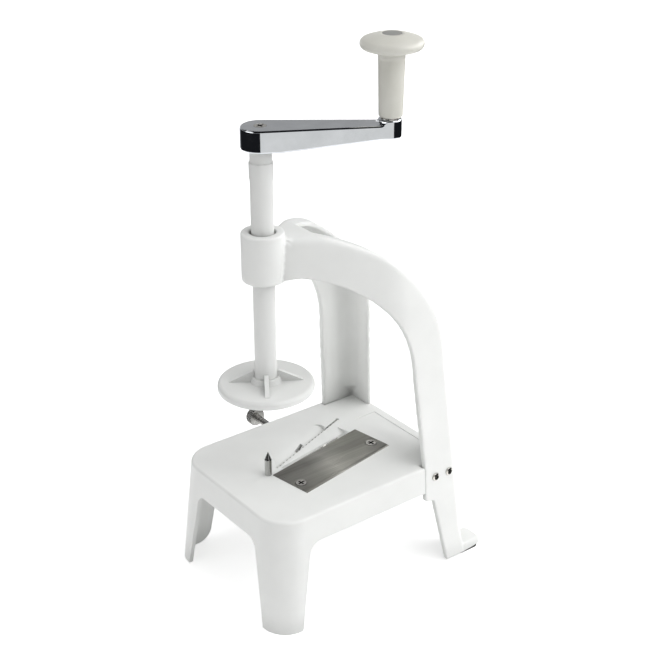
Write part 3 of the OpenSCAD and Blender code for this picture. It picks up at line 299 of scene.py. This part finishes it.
# copies a CAD node, joins its split corners, rounds its edges in the order given and puts it on its body
def dress(node, material, rounds):
    mesh = bmesh.new()
    mesh.from_mesh(nodes[node].data)
    bmesh.ops.remove_doubles(mesh, verts=mesh.verts, dist=dressing["weldMm"] * mm)
    if rounds:
        bmesh.ops.dissolve_limit(mesh, angle_limit=math.radians(dressing["flatDeg"]), verts=mesh.verts,
                                 edges=mesh.edges, delimit=set())
    for width, segments, keep in rounds:
        edges = sharpEdges(mesh, keep)
        if edges:
            bmesh.ops.bevel(mesh, geom=edges, offset=width * mm, segments=segments, profile=0.5,
                            affect="EDGES", clamp_overlap=keep is everywhere, loop_slide=True)
    data = bpy.data.meshes.new(node + "_look")
    mesh.to_mesh(data)
    mesh.free()
    piece = putOn(node, data, material)
    normals = piece.modifiers.new("evenNormals", "WEIGHTED_NORMAL")
    normals.weight = dressing["normalWeight"]
    normals.keep_sharp = False
    return piece


def everywhere(edge):
    return True


# outer edges of the crank arm, away from its screw at the hub and from the knob's socket at the tip
crankEdge = {"turnDeg": 60, "hubMm": 9, "tipMm": 5.5}
knobLow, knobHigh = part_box("knob_grip")
knobAxis = (Vector(knobLow) + Vector(knobHigh)) / 2


def crankRim(edge):
    middle = (edge.verts[0].co + edge.verts[1].co) / 2
    fromHub = math.hypot(middle.x, middle.y) / mm
    fromTip = math.hypot(middle.x - knobAxis.x, middle.y - knobAxis.y) / mm
    sharp = edge.is_convex and edge.calc_face_angle(0) > math.radians(crankEdge["turnDeg"])
    return sharp and fromHub > crankEdge["hubMm"] and fromTip > crankEdge["tipMm"]


# rims of round holes and heads in a top face, known by their short chords
rimChordMm = 1.6
levelCos = 0.95


def roundRim(edge):
    short = edge.calc_length() < rimChordMm * mm
    return edge.is_convex and short and max(f.normal.z for f in edge.link_faces) > levelCos


# gives the faces that lie on a cylinder about the work axis the cylinder's own normals
roundCos = 0.96


def trueRound(piece):
    data = piece.data
    normals = [(0.0, 0.0, 0.0)] * len(data.loops)
    for face in data.polygons:
        for loop in face.loop_indices:
            spot = data.vertices[data.loops[loop].vertex_index].co
            out = Vector((spot.x, spot.y, 0)).normalized()
            if out.dot(face.normal) > roundCos:
                normals[loop] = tuple(out)
    data.normals_split_custom_set(normals)


# the deck's outer rim: convex edges at the deck's level, near its sides or its front, that face away from
# its middle
deckEdge = {"dropMm": 1.5, "sideMm": 45, "frontMm": -20, "middleMm": 30, "wallCos": 0.4}
deckLevel = Vector(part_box("main_blade")[1]).z - deckEdge["dropMm"] * mm


def deckRim(edge):
    flat, wall = sorted((f.normal for f in edge.link_faces), key=lambda n: -n.z)
    middle = (edge.verts[0].co + edge.verts[1].co) / 2
    outside = abs(middle.x) > deckEdge["sideMm"] * mm or middle.y < deckEdge["frontMm"] * mm
    upright = flat.z > levelCos and abs(wall.z) < deckEdge["wallCos"]
    facesOut = wall.dot(Vector((middle.x, middle.y - deckEdge["middleMm"] * mm, 0))) > 0
    return edge.is_convex and middle.z > deckLevel and outside and upright and facesOut


# the frame's own sizes in mm and degrees: bend and lean of the legs in side view, plates with their shoulders
# in plan, the soft outer edge of the moulding, which is crisper at the foot and fades out at the collar, and
# the fillet inside its L-shaped section, which starts above the deck
arch = {"bendY": 6.5, "bendZ": 150, "outerR": 103.5, "neckTop": 250.7, "legLean": 5,
        "plateX": 58, "deckZ": 81, "draft": 4.4,
        "shoulderX": 28, "shoulderY": 78, "shoulderR": 30, "shoulderTurn": 30.61,
        "plateT": 4, "webT": 3, "edgeR": 4.6, "footZ": 6, "footRise": 14, "footShare": 0.25,
        "filletR": 9, "filletLift": 2, "filletRise": 8, "filletY": 20, "skin": 0.7,
        "collarR": 14.4, "collarFade": 4, "collarY": 2, "gridMm": 0.75}


# how far each point moves in from two faces so that their corner becomes round
def cornerShift(first, second, radius):
    u, v = np.maximum(radius - first, 0), np.maximum(radius - second, 0)
    reach = np.hypot(u, v)
    keep = np.where((reach > radius) & (u > 0) & (v > 0), radius / np.maximum(reach, 1e-9), 1.0)
    return u * (1 - keep), v * (1 - keep)


# a CAD node on an even grid: the new mesh and its points in mm
def gridded(node, gridMm):
    source = bpy.data.objects.new(node + "_grid", nodes[node].data.copy())
    bpy.context.scene.collection.objects.link(source)
    grid = source.modifiers.new("grid", "REMESH")
    grid.mode = "VOXEL"
    grid.voxel_size = gridMm * mm
    data = bpy.data.meshes.new_from_object(source.evaluated_get(bpy.context.evaluated_depsgraph_get()))
    bpy.data.objects.remove(source)
    flat = np.empty(len(data.vertices) * 3)
    data.vertices.foreach_get("co", flat)
    return data, flat.reshape(-1, 3) / mm


# the shaft on a fine grid, with every point near one of its rounds set exactly on it and the notches under
# its shoulder filled: radii of body and neck, level of the shoulder and length of the neck above it
shaftLook = {"gridMm": 0.5, "reachMm": 0.45, "bodyR": 7.48, "neckR": 6.8, "neckMm": 8.0, "shoulderMm": 300.8,
             "stepMm": 0.3, "notchMm": 1.6, "notchIn": 0.6}


def softShaft(material):
    data, place = gridded("shaft", shaftLook["gridMm"])
    out, above = np.hypot(place[:, 0], place[:, 1]), place[:, 2] - shaftLook["shoulderMm"]
    step = np.abs(above) < shaftLook["stepMm"]
    notch = (above < 0) & (above > -shaftLook["notchMm"]) & (out > shaftLook["neckR"] - shaftLook["notchIn"])
    body = (above < shaftLook["stepMm"]) & (out > shaftLook["bodyR"] - shaftLook["reachMm"]) | notch
    nearNeck = np.abs(out - shaftLook["neckR"]) < shaftLook["reachMm"]
    neck = (above > 0) & (above < shaftLook["neckMm"]) & nearNeck & ~body
    for part, radius in ((body, shaftLook["bodyR"]), (neck, shaftLook["neckR"])):
        place[part, :2] *= (radius / out[part])[:, None]
    place[step & (body | neck), 2] = shaftLook["shoulderMm"]
    data.vertices.foreach_set("co", (place * mm).ravel())
    trueRound(putOn("shaft", data, material))
    print("shaft moulded:", len(data.polygons), "faces")


# remeshes the frame on an even grid, then rounds the outer edges of its plates and fills their inner corners
def softFrame(material):
    data, place = gridded("rear_frame", arch["gridMm"])
    hand, y, z = np.where(place[:, 0] < 0, -1.0, 1.0), place[:, 1], place[:, 2]
    lean, turn = math.radians(arch["draft"]), math.radians(arch["shoulderTurn"])
    offPlate = place[:, 0] * hand - arch["plateX"]
    planX = arch["plateX"] + offPlate * math.cos(lean) + (z - arch["deckZ"]) * math.sin(lean)
    # depth behind the side face: the straight that spreads from the neck, the shoulder, then the flat plate
    offX, offY = planX - arch["shoulderX"], y - arch["shoulderY"]
    reach = np.maximum(np.hypot(offX, offY), 1e-6)
    onLine = offX * math.sin(turn) + offY * math.cos(turn) < 0
    normalX = np.where(offY >= 0, 1.0, np.where(onLine, math.cos(turn), offX / reach))
    normalY = np.where(offY >= 0, 0.0, np.where(onLine, -math.sin(turn), offY / reach))
    sideDepth = arch["shoulderR"] - (offX * normalX + offY * normalY)
    # depth under the outer web: flat neck top, bend, then the leaning leg
    ahead, above = y - arch["bendY"], z - arch["bendZ"]
    radius = np.maximum(np.hypot(ahead, above), 1e-6)
    slope = math.radians(arch["legLean"])
    legDepth = (arch["outerR"] - ahead - above * math.tan(slope)) * math.cos(slope)
    onTop = (ahead < 0) | (arch["neckTop"] - z < arch["outerR"] - radius)
    webDepth = np.where(above < 0, legDepth, np.where(onTop, arch["neckTop"] - z, arch["outerR"] - radius))
    webY = np.where(above < 0, math.cos(slope), np.where(onTop, 0.0, ahead / radius))
    webZ = np.where(above < 0, math.sin(slope), np.where(onTop, 1.0, above / radius))
    # the edge softens behind the neck and stays crisper at the foot; the fillet ends at the deck
    fromAxis = np.hypot(place[:, 0], y)
    offCollar = np.clip((fromAxis - arch["collarR"]) / arch["collarFade"], 0, 1) * (y > arch["collarY"])
    offFoot = np.clip((z - arch["footZ"]) / arch["footRise"], arch["footShare"], 1)
    edge = np.maximum(arch["edgeR"] * offCollar * offFoot, 1e-3)
    offDeck = np.clip((z - arch["deckZ"] - arch["filletLift"]) / arch["filletRise"], 0.01, 1)
    fillet = arch["filletR"] * offDeck
    sideIn, webIn = cornerShift(sideDepth, webDepth, edge)
    inPlate, inWeb = sideDepth > arch["plateT"] - arch["skin"], webDepth > arch["webT"] - arch["skin"]
    inside = inPlate & inWeb & (y > arch["filletY"])
    sideFill, webFill = cornerShift(sideDepth - arch["plateT"], webDepth - arch["webT"], fillet)
    sideIn += np.where(inside, sideFill, 0)
    webIn += np.where(inside, webFill, 0)
    sideIn, webIn = sideIn * offCollar, webIn * offCollar
    # the neck's side is taken back so that the arm leaves the collar in one plane
    outside = fromAxis > arch["collarR"]
    sideIn += np.where(onLine & outside & (sideDepth < 0) & (y > 0), -sideDepth, 0)
    moved = place.copy()
    moved[:, 0] -= sideIn * normalX * math.cos(lean) * hand
    moved[:, 1] -= sideIn * normalY + webIn * webY
    moved[:, 2] -= sideIn * normalX * math.sin(lean) + webIn * webZ
    data.vertices.foreach_set("co", (moved * mm).ravel())
    # one smoothing pass over everything, and three more away from the collar
    mesh = bmesh.new()
    mesh.from_mesh(data)
    moulded = [v for v in mesh.verts if offCollar[v.index] > 0.5]
    for verts in (mesh.verts, moulded, moulded, moulded):
        bmesh.ops.smooth_vert(mesh, verts=verts, factor=0.5, use_axis_x=True, use_axis_y=True,
                              use_axis_z=True)
    mesh.to_mesh(data)
    mesh.free()
    putOn("rear_frame", data, material)
    print("frame moulded:", len(data.polygons), "faces")


# how each piece is finished: material, record slot, and edge rounds as width in mm, segments and which edges
finishes = {
    "base_table": (whiteAbs, "white_abs", [(2.2, 5, deckRim), (0.7, 2, everywhere)]),
    "heel_pads": (blackRubber, "black_rubber", [(0.5, 2, everywhere)]),
    "frame_screws": (nickelSteel, "nickel_steel", [(0.15, 2, everywhere)]),
    "frame_inserts": (turnedBrass, "brass_insert", [(0.2, 2, everywhere)]),
    "main_blade": (stainless, "stainless", [(0.3, 2, roundRim)]),
    "blade_screws": (nickelSteel, "nickel_steel", [(0.3, 2, roundRim)]),
    "blade_nuts": (nickelSteel, "nickel_steel", [(0.2, 2, everywhere)]),
    "centre_pin": (pinWithPaintedStreaks, "nickel_steel", [(0.15, 2, everywhere)]),
    "pin_nut": (nickelSteel, "nickel_steel", [(0.2, 2, everywhere)]),
    "comb_blade": (combSteel, "stainless", [(0.08, 1, everywhere)]),
    "comb_holder": (whiteAbs, "white_abs", [(0.5, 2, everywhere)]),
    "comb_rivets": (nickelSteel, "nickel_steel", [(0.2, 2, everywhere)]),
    "clamp_pad": (nickelSteel, "nickel_steel", [(0.3, 2, everywhere)]),
    "thumbscrew": (turnedScrew, "nickel_steel", [(0.12, 1, everywhere)]),
    "thumb_nut": (nickelSteel, "nickel_steel", [(0.2, 2, everywhere)]),
    "guide_bush": (acetalBush, "acetal", [(0.25, 2, everywhere)]),
    "bush_clip": (nickelSteel, "nickel_steel", [(0.15, 2, everywhere)]),
    "shaft_insert": (turnedBrass, "brass_insert", [(0.2, 2, everywhere)]),
    "pusher_disc": (shaftAbs, "white_abs", [(0.35, 2, everywhere)]),
    "disc_pin": (nickelSteel, "nickel_steel", [(0.2, 2, everywhere)]),
    "crank_arm": (chromeZinc, "chrome_zinc", [(1.3, 6, crankRim)]),
    "crank_screw": (nickelSteel, "nickel_steel", [(0.15, 2, everywhere)]),
    "knob_spindle": (nickelSteel, "nickel_steel", [(0.2, 2, everywhere)]),
    "spindle_washer": (nickelSteel, "nickel_steel", [(0.15, 2, everywhere)]),
    "knob_grip": (knobAbs, "offwhite_abs", []),
    "knob_cap": (greyCap, "grey_cap", [(0.25, 2, everywhere)]),
}
# the screws whose gap and recess get painted shade: axis of the head, depth and reach of the painted shade
# from its outer face, which stays bright itself down to the skin
shadedScrewGaps = {
    "blade_screws": {"axis": 2, "depthMm": 2.4, "reachMm": 4.5},
    "crank_screw": {"axis": 2, "depthMm": 2.4, "reachMm": 4.5},
    "frame_screws": {"axis": 0, "depthMm": 1.4, "reachMm": 1.9},
}
faceSkinMm = 0.03


# finds each screw of a piece as an island of faces and paints shade on what lies just under its outer face
def paintGapShade(piece, axis, depthMm, reachMm):
    piece.data.materials.append(gapShadeSteel)
    mesh = bmesh.new()
    mesh.from_mesh(piece.data)
    left = set(mesh.faces)
    while left:
        island, ahead = [], [left.pop()]
        while ahead:
            face = ahead.pop()
            island.append(face)
            for near in (f for edge in face.edges for f in edge.link_faces if f in left):
                left.discard(near)
                ahead.append(near)
        verts = [v.co for face in island for v in face.verts]
        low, high = (Vector(pick(c[i] for c in verts) for i in range(3)) for pick in (min, max))
        middle = (low + high) / 2
        across = [i for i in range(3) if i != axis]
        outer = high[axis] if middle[axis] > 0 else low[axis]
        for face in island:
            spot = face.calc_center_median()
            under = abs(outer - spot[axis]) / mm
            off = math.hypot(*(spot[i] - middle[i] for i in across)) / mm
            if faceSkinMm < under < depthMm and off < reachMm:
                # painted shade on the gap and recess faces
                face.material_index = 1
    mesh.to_mesh(piece.data)
    mesh.free()


# a piece without rounds keeps its own surface, creased where it turns sharply
for node, (material, slot, rounds) in finishes.items():
    piece = dress(node, material, rounds)
    if node in shadedScrewGaps:
        paintGapShade(piece, **shadedScrewGaps[node])
    if not rounds:
        piece.modifiers.clear()
        piece.data.set_sharp_from_angle(angle=math.radians(dressing["creaseDeg"]))
print("pieces dressed:", len(finishes))
softFrame(whiteAbs)
softShaft(shaftAbs)


# floor: pale sweep that carries the soft shadow; its lift to white, which grows between two distances in
# metres, is only seen and mirrored and does not light the object
floorLook = {"sizeM": 9.0, "colour": "#f4f4f4", "lift": (0.48, 0.85), "liftM": (0.25, 1.6)}
floorMaterial, floorTree = newMaterial("white_paper_sweep")
rays = addNode(floorTree, "ShaderNodeLightPath")
mirrored = addNode(floorTree, "ShaderNodeMath", {"operation": "MAXIMUM"}, i0=(rays, "Is Glossy Ray"),
                   i1=(rays, "Is Transmission Ray"))
seen = addNode(floorTree, "ShaderNodeMath", {"operation": "MAXIMUM"}, i0=(rays, "Is Camera Ray"),
               i1=(mirrored, "Value"))
spot = addNode(floorTree, "ShaderNodeTexCoord")
away = addNode(floorTree, "ShaderNodeVectorMath", {"operation": "LENGTH"}, i0=(spot, "Object"))
rise = addNode(floorTree, "ShaderNodeMapRange", {"interpolation_type": "SMOOTHSTEP"}, Value=(away, "Value"),
               From_Min=floorLook["liftM"][0], From_Max=floorLook["liftM"][1],
               To_Min=floorLook["lift"][0], To_Max=floorLook["lift"][1])
lift = addNode(floorTree, "ShaderNodeMath", {"operation": "MULTIPLY"}, i0=(seen, "Value"),
               i1=(rise, "Result"))
paper = addNode(floorTree, "ShaderNodeBsdfPrincipled", None, Base_Color=hexColour(floorLook["colour"]),
                Roughness=0.9, Specular_IOR_Level=0.1)
glow = addNode(floorTree, "ShaderNodeEmission", None, Color=(1, 1, 1, 1), Strength=(lift, "Value"))
both = addNode(floorTree, "ShaderNodeAddShader", None, i0=(paper, "BSDF"), i1=(glow, "Emission"))
addNode(floorTree, "ShaderNodeOutputMaterial", None, Surface=(both, "Shader"))
half = floorLook["sizeM"] / 2
floorData = bpy.data.meshes.new("floor")
floorCorners = [(-half, -half, 0), (half, -half, 0), (half, half, 0), (-half, half, 0)]
floorData.from_pydata(floorCorners, [], [(0, 1, 2, 3)])
floorData.materials.append(floorMaterial)
floor = bpy.data.objects.new("floor", floorData)
bpy.context.scene.collection.objects.link(floor)

# camera solved from the photograph: focal length in pixels of the 665 px frame, and where it stands
view = {"focalPx": 1368.44, "framePx": 665, "azimuth": 52.49, "elevation": 26.31,
        "placeMm": (643.9, -440.2, 572.0)}


# flags that only the gloss mirrors: every other ray goes through their cloth
def flagCloth(name, colour):
    material, tree = newMaterial(name + "_cloth")
    rays = addNode(tree, "ShaderNodeLightPath")
    clear = addNode(tree, "ShaderNodeBsdfTransparent")
    cloth = addNode(tree, "ShaderNodeEmission", None, Color=hexColour(colour), Strength=1.0)
    either = addNode(tree, "ShaderNodeMixShader", None, i0=(rays, "Is Glossy Ray"), i1=(clear, "BSDF"),
                     i2=(cloth, "Emission"))
    addNode(tree, "ShaderNodeOutputMaterial", None, Surface=(either, "Shader"))
    return material


def hangFlag(name, corners, strips, colour):
    data = bpy.data.meshes.new(name)
    data.from_pydata(corners, [], strips)
    data.materials.append(flagCloth(name, colour))
    flag = bpy.data.objects.new(name, data)
    bpy.context.scene.collection.objects.link(flag)


# a small flag over the crank, in metres along and across it, darkens the line where its top edge turns down
overhead = {"along": (-0.05, 0.11), "across": (-0.06, 0.14), "level": 0.41, "colour": "#1b1c1f"}
ahead = Vector((knobAxis.x, knobAxis.y, 0)).normalized()
aside = Vector((ahead.y, -ahead.x, 0))
raised = Vector((0, 0, overhead["level"]))
overheadCorners = [ahead * overhead["along"][i] + aside * overhead["across"][j] + raised
                   for i, j in ((0, 0), (0, 1), (1, 1), (1, 0))]
hangFlag("overheadFlag", overheadCorners, [(0, 1, 2, 3)], overhead["colour"])

# upright flags round the work axis, in degrees from the camera's side towards its right, with their lower and
# upper edge and their distance in metres
flags = {"leftFlag": {"from": -140, "to": 3, "low": 0.0, "high": 0.33, "far": 0.5, "colour": "#1b1c1f"},
         "middleFlag": {"from": 3, "to": 42, "low": 0.0, "high": 0.26, "far": 0.5, "colour": "#ececea"},
         "rightFlag": {"from": 42, "to": 150, "low": 0.0, "high": 0.33, "far": 0.5, "colour": "#1b1c1f"},
         "rearFlag": {"from": 150, "to": 220, "low": 0.0, "high": 0.3, "far": 0.5, "colour": "#8f9196"}}
cameraSide = math.radians(view["azimuth"] - 90)
flagStepDeg = 4
for flagName, look in flags.items():
    corners, strips = [], []
    steps = max(int((look["to"] - look["from"]) / flagStepDeg), 2)
    for step in range(steps + 1):
        bearing = cameraSide + math.radians(look["from"] + (look["to"] - look["from"]) * step / steps)
        x, y = look["far"] * math.cos(bearing), look["far"] * math.sin(bearing)
        corners += [(x, y, look["low"]), (x, y, look["high"])]
        if step:
            strips.append((2 * step - 2, 2 * step, 2 * step + 1, 2 * step - 1))
    hangFlag(flagName, corners, strips, look["colour"])


# one soft lamp: where it stands and what it faces in metres, its size in metres and its power in watts
def softLamp(name, place, target, size, power):
    data = bpy.data.lights.new(name, "AREA")
    data.shape = "RECTANGLE"
    data.size, data.size_y = size
    data.energy = power
    lamp = bpy.data.objects.new(name, data)
    lamp.location = place
    lamp.rotation_euler = (Vector(target) - Vector(place)).to_track_quat("-Z", "Y").to_euler()
    bpy.context.scene.collection.objects.link(lamp)


workMiddle = (0, 0.04, 0.16)
lamps = {"topBox": ((0.0, 0.1, 1.9), (0, 0.04, 0.1), (2.6, 2.6), 20.5),
         "frontBox": ((-0.25, -1.6, 0.6), workMiddle, (1.4, 1.2), 9.6),
         "leftBox": ((-1.5, 0.5, 0.8), workMiddle, (2.1, 1.7), 3.9),
         "backBox": ((0.3, 1.7, 0.9), workMiddle, (1.6, 1.2), 15.4),
         "rightHigh": ((1.25, 0.35, 1.3), workMiddle, (1.2, 1.2), 10.0),
         "rightBack": ((1.3, 1.2, 0.7), workMiddle, (1.2, 1.2), 9.3)}
for lampName, (place, target, size, power) in lamps.items():
    softLamp(lampName, place, target, size, power)

# dim studio surround that fills the shadows, darker still on the camera's side
surroundLook = {"strength": 0.06, "roomSide": (0.79, -0.61, 0.0), "roomEdge": (0.35, 0.6), "roomShade": 0.08,
                "sweepEdge": (0.05, 0.14)}
world = bpy.data.worlds.new("studio")
bpy.context.scene.world = world
world.use_nodes = True
worldTree = world.node_tree
worldTree.nodes.clear()
direction = addNode(worldTree, "ShaderNodeTexCoord")
parts = addNode(worldTree, "ShaderNodeSeparateXYZ", None, Vector=(direction, "Generated"))
height = addNode(worldTree, "ShaderNodeMapRange", None, Value=(parts, "Z"), From_Min=-1.0, From_Max=1.0)
sky = addNode(worldTree, "ShaderNodeValToRGB", None, Fac=(height, "Result"))
setRamp(sky, [(0.48, hexColour("#e8e8e8")), (0.56, hexColour("#d9dde2")), (0.74, hexColour("#eef3fa")),
              (0.9, hexColour("#ffffff"))])
facing = addNode(worldTree, "ShaderNodeVectorMath", {"operation": "DOT_PRODUCT"}, i0=(direction, "Generated"),
                 i1=surroundLook["roomSide"])
room = addNode(worldTree, "ShaderNodeMapRange", None, Value=(facing, "Value"),
               From_Min=surroundLook["roomEdge"][0], From_Max=surroundLook["roomEdge"][1],
               To_Min=1.0, To_Max=surroundLook["roomShade"])
shade = tinted(worldTree, (sky, "Color"), (room, "Result"))
surround = addNode(worldTree, "ShaderNodeBackground", None, Color=(shade, "Result"),
                   Strength=surroundLook["strength"])
# the white sweep behind the floor: seen all the way up, and mirrored up to where the dim room begins
sweep = addNode(worldTree, "ShaderNodeBackground", None, Color=(1, 1, 1, 1), Strength=1.0)
edge = addNode(worldTree, "ShaderNodeMapRange", {"interpolation_type": "SMOOTHSTEP"}, Value=(parts, "Z"),
               From_Min=surroundLook["sweepEdge"][0], From_Max=surroundLook["sweepEdge"][1],
               To_Min=1.0, To_Max=0.0)
rays = addNode(worldTree, "ShaderNodeLightPath")
mirrored = addNode(worldTree, "ShaderNodeMath", {"operation": "MULTIPLY"}, i0=(rays, "Is Glossy Ray"),
                   i1=(edge, "Result"))
straight = addNode(worldTree, "ShaderNodeMath", {"operation": "MAXIMUM"}, i0=(rays, "Is Camera Ray"),
                   i1=(rays, "Is Transmission Ray"))
share = addNode(worldTree, "ShaderNodeMath", {"operation": "MAXIMUM"}, i0=(straight, "Value"),
                i1=(mirrored, "Value"))
either = addNode(worldTree, "ShaderNodeMixShader", None, i0=(share, "Value"), i1=(surround, "Background"),
                 i2=(sweep, "Background"))
addNode(worldTree, "ShaderNodeOutputWorld", None, Surface=(either, "Shader"))
print("stage lit")

# the camera at its solved place: its back, right and up make its turn
az, el = math.radians(view["azimuth"]), math.radians(view["elevation"])
back = Vector((math.sin(az) * math.cos(el), -math.cos(az) * math.cos(el), math.sin(el)))
right = Vector((math.cos(az), math.sin(az), 0))
up = back.cross(right)
cameraData = bpy.data.cameras.new("photoCamera")
cameraData.sensor_width = 36.0
cameraData.lens = view["focalPx"] / view["framePx"] * cameraData.sensor_width
camera = bpy.data.objects.new("photoCamera", cameraData)
turn = Matrix((right, up, back)).transposed().to_4x4()
camera.matrix_world = Matrix.Translation(Vector(view["placeMm"]) * mm) @ turn
bpy.context.scene.collection.objects.link(camera)
bpy.context.scene.camera = camera
bpy.context.scene.view_settings.view_transform = "Standard"
print("camera set")
